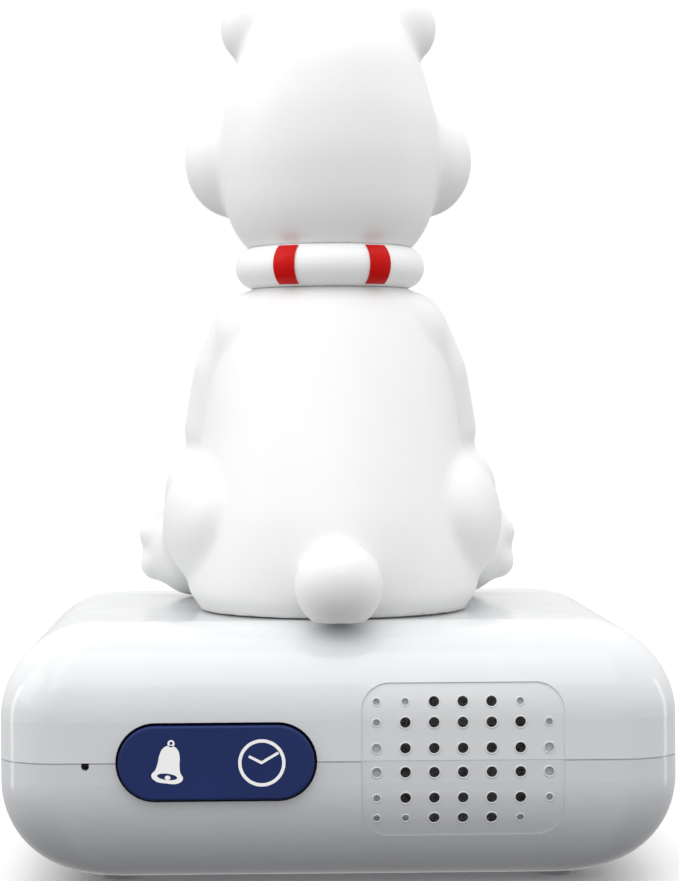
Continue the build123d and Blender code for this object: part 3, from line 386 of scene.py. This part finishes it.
figure_places = (-17.5, -9.0, 3.0, 11.5)
shown_time = "1030"
lit_bars = [loop for x, figure in zip(figure_places, shown_time)
            for loop in figure_bars(x, segments_of[figure])]
colon_across, colon_rise, colon_radius = -3.0, 2.3, 0.75
lit_bars += [round_loop(colon_across, z, colon_radius, colon_radius) for z in (-colon_rise, colon_rise)]
bell_share, bell_across, bell_rise = 0.62, 21.5, 2.6
lit_bars += [(True, [(x * bell_share + bell_across, y * bell_share + bell_rise) for x, y in bell_outline[1]])]
ghost_bars = [loop for x, figure in zip(figure_places, shown_time)
              for loop in figure_bars(x, set("abcdefg") - set(segments_of[figure]))]
display_middle = (0, lcd_face, 0.0235)
printed_sign("display_figures", lit_bars, display_middle, facing_front, digit_ink, "case")
printed_sign("display_unlit_bars", ghost_bars, display_middle, facing_front, ghost_ink, "case")

# Top key
# A navy key in front of the bear that silences the alarm and lights the lamp.
# It is moulded like the rocker, and a white crescent is printed on it.
top_key_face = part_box("snooze_key")[1].z
moon_place = (0, -0.0375, top_key_face)
moon_radius, bite_radius, bite_across, moon_steps = 2.6, 2.05, 1.0, 10
moon_turns = [math.radians(60 + 240 * k / moon_steps) for k in range(moon_steps + 1)]
moon_outer = [(moon_radius * math.cos(t), moon_radius * math.sin(t)) for t in moon_turns]
moon_inner = [(bite_across + bite_radius * math.cos(t), bite_radius * math.sin(t)) for t in moon_turns[1:-1]]
moon_loop = (False, moon_outer + list(reversed(moon_inner)))
printed_sign("moon_sign", [moon_loop], moon_place, (0, 0, 0), white_ink, "snooze")

# Power and lamp
# Three cells with a plain printed film lie in the bay, between sprung steel contacts.
# Three clear light-emitting diodes on a small board light the bear from inside.
cell_wrap = moulding("cell_wrap", (0.30, 0.32, 0.36), (0.24, 0.26, 0.30), (0.25, 0.35), 600, 0.00001)
dress(cell_wrap, "battery_cells")
led_clear = moulding("led_clear", (0.95, 0.93, 0.85), (0.92, 0.9, 0.8), (0.05, 0.12), 500, 0.00001)
led_clear.node_tree.nodes["Principled BSDF"].inputs["Transmission Weight"].default_value = 0.7
dress(led_clear, "lamp_leds")

# Bear's body
# A slush-moulded skin of soft white vinyl: trunk, arms, haunches, feet and tail in one, flat at the seat.
# It plugs over the base plate that is screwed to the top of the case.
white_vinyl = moulding("white_vinyl", (0.84, 0.84, 0.84), (0.825, 0.825, 0.825), (0.42, 0.52), 1500, 0.00002)
# The body's vinyl is a darker copy of the head's and ring's: painted shade that tones down the brightly lit
# back.
body_vinyl_painted_shade = moulding("body_vinyl_painted_shade", (0.77, 0.77, 0.77), (0.755, 0.755, 0.755), (0.42, 0.52), 1500, 0.00002)
for vinyl in (white_vinyl, body_vinyl_painted_shade):
    vinyl_shader = vinyl.node_tree.nodes["Principled BSDF"]
    vinyl_shader.inputs["Subsurface Weight"].default_value = 0.2
    vinyl_shader.inputs["Subsurface Radius"].default_value = (1, 0.95, 0.9)
    vinyl_shader.inputs["Subsurface Scale"].default_value = 0.002
dress(white_vinyl, "neck_ring")
seat = 0.0472
voxel = 0.0007
shrink_back = 0.0003


def at_seat(place, side=1):
    """A place on the bear, in millimetres above its seat, as a place in the clock. Side -1 mirrors it."""
    x, y, height = place
    return Vector((side * x * 0.001, y * 0.001, seat + height * 0.001))


def between(slices, share):
    """The slice at a share of the way up, on a smooth line through all of them."""
    span = share * (len(slices) - 1)
    k = min(int(span), len(slices) - 2)
    t = span - k
    before, start, end, after = (slices[min(max(k + n, 0), len(slices) - 1)] for n in (-1, 0, 1, 2))
    return [b + 0.5 * t * (c - a + t * (2 * a - 5 * b + 4 * c - d + t * (3 * (b - c) + d - a)))
            for a, b, c, d in zip(before, start, end, after)]


def start_stack(name, slices, swell):
    """Draws a round body up from a level circle, ring by ring, and leaves it open in edit mode."""
    rings = 5 * len(slices)
    slices = [between(slices, k / rings) for k in range(rings + 1)]
    slices[0][0] -= swell * 1000
    slices[-1][0] += swell * 1000
    bpy.ops.object.select_all(action="DESELECT")
    bpy.ops.mesh.primitive_circle_add(vertices=64, radius=1, fill_type="NGON", location=(0, 0, 0))
    piece = bpy.context.object
    piece.name = name
    piece.data.name = name
    bpy.ops.object.mode_set(mode="EDIT")
    bpy.ops.mesh.select_all(action="SELECT")
    half_x, half_y, middle, height = 1, 1, 0, 0
    for step, (new_height, new_x, new_y, new_middle) in enumerate(slices):
        shift = (0, new_middle * 0.001 - middle, seat + new_height * 0.001 - height)
        if step:
            bpy.ops.mesh.extrude_region_move(TRANSFORM_OT_translate={"value": shift})
        else:
            bpy.ops.transform.translate(value=shift)
        middle, height = new_middle * 0.001, seat + new_height * 0.001
        wide, deep = new_x * 0.001 + swell, new_y * 0.001 + swell
        bpy.ops.transform.resize(value=(wide / half_x, deep / half_y, 1), center_override=(0, middle, height))
        half_x, half_y = wide, deep
    return piece


def add_ball(place, halves, swell):
    """A ball or egg of vinyl, fuller than its size by the swell."""
    bpy.ops.mesh.primitive_uv_sphere_add(segments=40, ring_count=24, radius=1, location=place)
    bpy.ops.transform.resize(value=[half * 0.001 + swell for half in halves], center_override=place)


def add_limb(start, start_radius, end, end_radius, swell):
    """Two balls and the taper that touches both."""
    add_ball(start, (start_radius,) * 3, swell)
    add_ball(end, (end_radius,) * 3, swell)
    wide, narrow = start_radius * 0.001 + swell, end_radius * 0.001 + swell
    run = end - start
    lean = (wide - narrow) / run.length
    side = math.sqrt(1 - lean * lean)
    low, high = start + run.normalized() * wide * lean, end + run.normalized() * narrow * lean
    bpy.ops.mesh.primitive_cone_add(vertices=40, radius1=wide * side, radius2=narrow * side,
                                    depth=(high - low).length, location=(low + high) / 2,
                                    rotation=run.to_track_quat("Z", "Y").to_euler())


def melt_together(piece, swell, passes):
    """Joins the forms into one skin. The swell is taken off again, so soft hollows stay where they meet."""
    bpy.ops.mesh.select_all(action="SELECT")
    bpy.ops.mesh.normals_make_consistent(inside=False)
    bpy.ops.object.mode_set(mode="OBJECT")
    for kind, settings in (("REMESH", {"mode": "VOXEL", "voxel_size": voxel}),
                           ("DISPLACE", {"strength": shrink_back - swell, "mid_level": 0}),
                           ("REMESH", {"mode": "VOXEL", "voxel_size": voxel}),
                           ("SMOOTH", {"factor": 0.5, "iterations": passes})):
        bpy.ops.object.modifier_add(type=kind)
        modifier = piece.modifiers[-1]
        for setting, value in settings.items():
            setattr(modifier, setting, value)
        bpy.ops.object.modifier_apply(modifier=modifier.name)
    bpy.ops.object.shade_smooth()


def cut_away(piece, cutters):
    """Takes other shapes out of a piece."""
    for cutter in cutters:
        bpy.ops.object.select_all(action="DESELECT")
        bpy.context.view_layer.objects.active = piece
        piece.select_set(True)
        bpy.ops.object.modifier_add(type="BOOLEAN")
        modifier = piece.modifiers[-1]
        modifier.object = cutter
        modifier.operation = "DIFFERENCE"
        modifier.solver = "EXACT"
        bpy.ops.object.modifier_apply(modifier=modifier.name)
        bpy.data.objects.remove(cutter)


ring_middle, ring_radius, ring_half_thickness = (0, 3, 64.9), 0.0141, 0.00415


def ring_seat():
    """The room that the neck ring takes."""
    bpy.ops.object.select_all(action="DESELECT")
    bpy.ops.mesh.primitive_torus_add(major_segments=96, minor_segments=40, major_radius=ring_radius,
                                     minor_radius=ring_half_thickness, location=at_seat(ring_middle))
    return bpy.context.object


trunk_slices = ((-6, 22, 28, 12.5), (0, 25, 31, 12.5), (3, 27, 33.1, 12.1), (9, 27.3, 33.8, 11.6),
                (17, 26.4, 33.1, 10.7), (25, 25.4, 30.8, 9.5), (33, 24.3, 27.8, 8.3), (41, 23.2, 24.7, 6.9),
                (49, 21.4, 21.5, 5.4), (55, 19, 18.7, 4.3), (60, 15.8, 15.5, 3.4), (63.5, 12, 12, 3))
knee, ankle, sole = (23.6, 1, 22.2), (26.2, -22.5, 9.2), (26.8, -27, 9.6)
shoulder, upper_arm, elbow, wrist = (14.4, 2.6, 52.1), (18.8, 1.8, 43.8), (21.6, 0.5, 33.5), (15, -19.5, 25.5)
limbs = ((knee, 8.3, ankle, 7.4), (shoulder, 8.2, upper_arm, 7.5), (upper_arm, 7.5, elbow, 6.5),
         (elbow, 6.5, wrist, 6.8))
shoulder_blade, blade_radius, armpit, armpit_radius = (12.5, 7, 50.5), 9.6, (19.5, 3, 36), 6.2
haunch, haunch_halves, sole_halves = (20.5, 10, 16.5), (11.6, 21, 13.4), (9.5, 7, 9.6)
toe_turns, toe_reach, toe_forward, toe_radius = (-22, 18, 51, 85), 8.5, 1, 3.4
tail, tail_radius = (0, 51.5, 6.3), 7.6
body_swell, smooth_passes = 0.0014, 7
bear_body = start_stack("bear_body_skin", trunk_slices, body_swell)
for side in (-1, 1):
    for start, start_radius, end, end_radius in limbs:
        add_limb(at_seat(start, side), start_radius, at_seat(end, side), end_radius, body_swell)
    add_ball(at_seat(haunch, side), haunch_halves, body_swell)
    add_limb(at_seat(shoulder_blade, side), blade_radius, at_seat(armpit, side), armpit_radius, body_swell)
    add_ball(at_seat(sole, side), sole_halves, body_swell)
    for turn in toe_turns:
        across, up = toe_reach * math.cos(math.radians(turn)), toe_reach * math.sin(math.radians(turn))
        toe = (sole[0] + across, sole[1] - toe_forward, sole[2] + up)
        add_ball(at_seat(toe, side), (toe_radius,) * 3, body_swell)
add_ball(at_seat(tail), (tail_radius,) * 3, body_swell)
melt_together(bear_body, body_swell, smooth_passes)
bpy.ops.object.mode_set(mode="EDIT")
bpy.ops.mesh.select_all(action="SELECT")
bpy.ops.mesh.bisect(plane_co=(0, 0, seat), plane_no=(0, 0, 1), clear_inner=True, use_fill=True)
bpy.ops.object.mode_set(mode="OBJECT")
cut_away(bear_body, [ring_seat()])
bear_body.data.materials.append(body_vinyl_painted_shade)
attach(bear_body, "case")
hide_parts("bear_body")

# Bear's head
# A second vinyl skin, moulded like the first: skull, round ears with a hollow each, cheek tufts and muzzle.
# It is pushed over the neck and sits on the ring.
head_slices = ((67, 13.8, 13.8), (69, 16, 15.9), (72, 18.1, 17.9), (76, 19.7, 19.5), (81, 20.6, 20.5),
               (87, 21, 21), (94, 20.4, 20.5), (100, 18.8, 19.4), (105.5, 17, 17.8), (110, 14.7, 15.4),
               (113.4, 11.8, 12), (115.4, 7.8, 8), (116.2, 3, 3))
head_middle = 2
ear, ear_halves = (13.55, 0.5, 111.5), (7.2, 5, 7.2)
cheek, cheek_halves = (18.4, -4.5, 86), (9.4, 8.6, 10.6)
muzzle, muzzle_halves = (0, -18.5, 83), (11, 10, 8)
ear_hollow, hollow_halves = (14, -5.4, 112.4), (0.0046, 0.0026, 0.0044)
head_swell = 0.0008
skull_slices = [(height, wide, deep, head_middle) for height, wide, deep in head_slices]
bear_head = start_stack("bear_head_skin", skull_slices, head_swell)
for side in (-1, 1):
    add_ball(at_seat(ear, side), ear_halves, head_swell)
    add_ball(at_seat(cheek, side), cheek_halves, head_swell)
add_ball(at_seat(muzzle), muzzle_halves, head_swell)
melt_together(bear_head, head_swell, smooth_passes)
ear_hollows = []
for side in (-1, 1):
    bpy.ops.object.select_all(action="DESELECT")
    bpy.ops.mesh.primitive_uv_sphere_add(segments=48, ring_count=32, radius=1, scale=hollow_halves,
                                         location=at_seat(ear_hollow, side))
    ear_hollows.append(bpy.context.object)
cut_away(bear_head, [ring_seat(), *ear_hollows])
bear_head.data.materials.append(white_vinyl)
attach(bear_head, "case")
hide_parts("bear_head")

# Bear's eyes and nose
# Raised forms of the face, covered with glossy dark lacquer that is sprayed through a mask.
# The eyes are flat behind and lie on the skin, and the nose is narrower below.
dark_lacquer = moulding("dark_lacquer", (0.02, 0.018, 0.017), (0.014, 0.013, 0.012), (0.12, 0.2), 1400,
                        0.00001)
eye_place, eye_halves, eye_turn, eye_cut = (7.6, -16.6, 96), (0.0019, 0.0013, 0.0023), math.radians(21), 0.35
for side, eye_name in ((-1, "bear_eye_left"), (1, "bear_eye_right")):
    bpy.ops.object.select_all(action="DESELECT")
    bpy.ops.mesh.primitive_uv_sphere_add(segments=32, ring_count=20, radius=1, location=(0, 0, 0))
    eye = bpy.context.object
    eye.name = eye_name
    bpy.ops.object.mode_set(mode="EDIT")
    bpy.ops.mesh.select_all(action="SELECT")
    bpy.ops.mesh.bisect(plane_co=(0, eye_cut, 0), plane_no=(0, 1, 0), clear_outer=True, use_fill=True)
    bpy.ops.object.mode_set(mode="OBJECT")
    eye.scale = eye_halves
    eye.rotation_euler = (0, 0, side * eye_turn)
    eye.location = at_seat(eye_place, side)
    bpy.ops.object.transform_apply(location=True, rotation=True, scale=True)
    bpy.ops.object.shade_smooth_by_angle(angle=math.radians(40))
    eye.data.materials.append(dark_lacquer)
    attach(eye, "case")

nose_place, nose_halves, nose_low, nose_taper = (0, -27.4, 87.2), (0.0042, 0.0026, 0.003), -0.15, 0.62
bpy.ops.object.select_all(action="DESELECT")
bpy.ops.mesh.primitive_uv_sphere_add(segments=40, ring_count=28, radius=1, location=(0, 0, 0))
bear_nose = bpy.context.object
bear_nose.name = "bear_nose"
bpy.ops.object.mode_set(mode="EDIT")
bpy.ops.mesh.select_mode(type="VERT")
bpy.ops.mesh.select_all(action="DESELECT")
bpy.ops.object.mode_set(mode="OBJECT")
for knot in bear_nose.data.vertices:
    knot.select = knot.co.z < nose_low
bpy.ops.object.mode_set(mode="EDIT")
bpy.ops.transform.resize(value=(nose_taper, 1, 1), center_override=(0, 0, 0))
bpy.ops.object.mode_set(mode="OBJECT")
bear_nose.scale = nose_halves
bear_nose.location = at_seat(nose_place)
bpy.ops.object.transform_apply(location=True, rotation=True, scale=True)
bpy.ops.object.modifier_add(type="SMOOTH")
bear_nose.modifiers[-1].iterations = 6
bpy.ops.object.modifier_apply(modifier=bear_nose.modifiers[-1].name)
bpy.ops.object.shade_smooth()
bear_nose.data.materials.append(dark_lacquer)
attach(bear_nose, "case")

# Bear's mouth
# A thin dark line printed on the muzzle, curved up at both ends.
# It is drawn flat in front of the face, laid on the skin and given its thickness.
mouth_place = at_seat((0, -34, 79.2))
mouth_half_width, mouth_rise, line_half_width, mouth_steps = 4.6, 1.7, 0.28, 24
mouth_line = [(mouth_half_width * (2 * k / mouth_steps - 1), mouth_rise * (2 * k / mouth_steps - 1) ** 2)
              for k in range(mouth_steps + 1)]
mouth_loop = [(x, z - line_half_width) for x, z in mouth_line]
mouth_loop += [(x, z + line_half_width) for x, z in reversed(mouth_line)]
bear_mouth = printed_sign("bear_mouth", [(False, mouth_loop)], mouth_place, facing_front, dark_lacquer,
                          "case")
bpy.ops.object.mode_set(mode="EDIT")
bpy.ops.mesh.select_all(action="SELECT")
bpy.ops.mesh.bisect(plane_co=mouth_place, plane_no=(0, 1, 0), clear_outer=True)
bpy.ops.object.mode_set(mode="OBJECT")
bpy.ops.object.modifier_add(type="SHRINKWRAP")
laid_on = bear_mouth.modifiers[-1]
laid_on.target = bear_head
laid_on.wrap_method = "PROJECT"
laid_on.use_project_y = True
laid_on.offset = 0.00005
bpy.ops.object.modifier_apply(modifier=laid_on.name)
bpy.ops.object.mode_set(mode="EDIT")
bpy.ops.mesh.select_all(action="SELECT")
bpy.ops.mesh.remove_doubles(threshold=0.00001)
bpy.ops.mesh.normals_make_consistent(inside=False)
bpy.ops.object.mode_set(mode="OBJECT")
bpy.ops.object.modifier_add(type="SOLIDIFY")
bear_mouth.modifiers[-1].thickness = 0.00008
bear_mouth.modifiers[-1].offset = 0
bpy.ops.object.modifier_apply(modifier=bear_mouth.modifiers[-1].name)

# Neck ring
# A round vinyl ring between head and shoulders, pushed over the neck before the head.
# Four patches of glossy red paint lie on its outside.
red_gloss = moulding("red_gloss", (0.56, 0.004, 0.003), (0.5, 0.003, 0.002), (0.2, 0.28), 1200, 0.00002)
red_gloss.node_tree.nodes["Principled BSDF"].inputs["Specular IOR Level"].default_value = 0.12
dress(red_gloss, "neck_ring_bands")
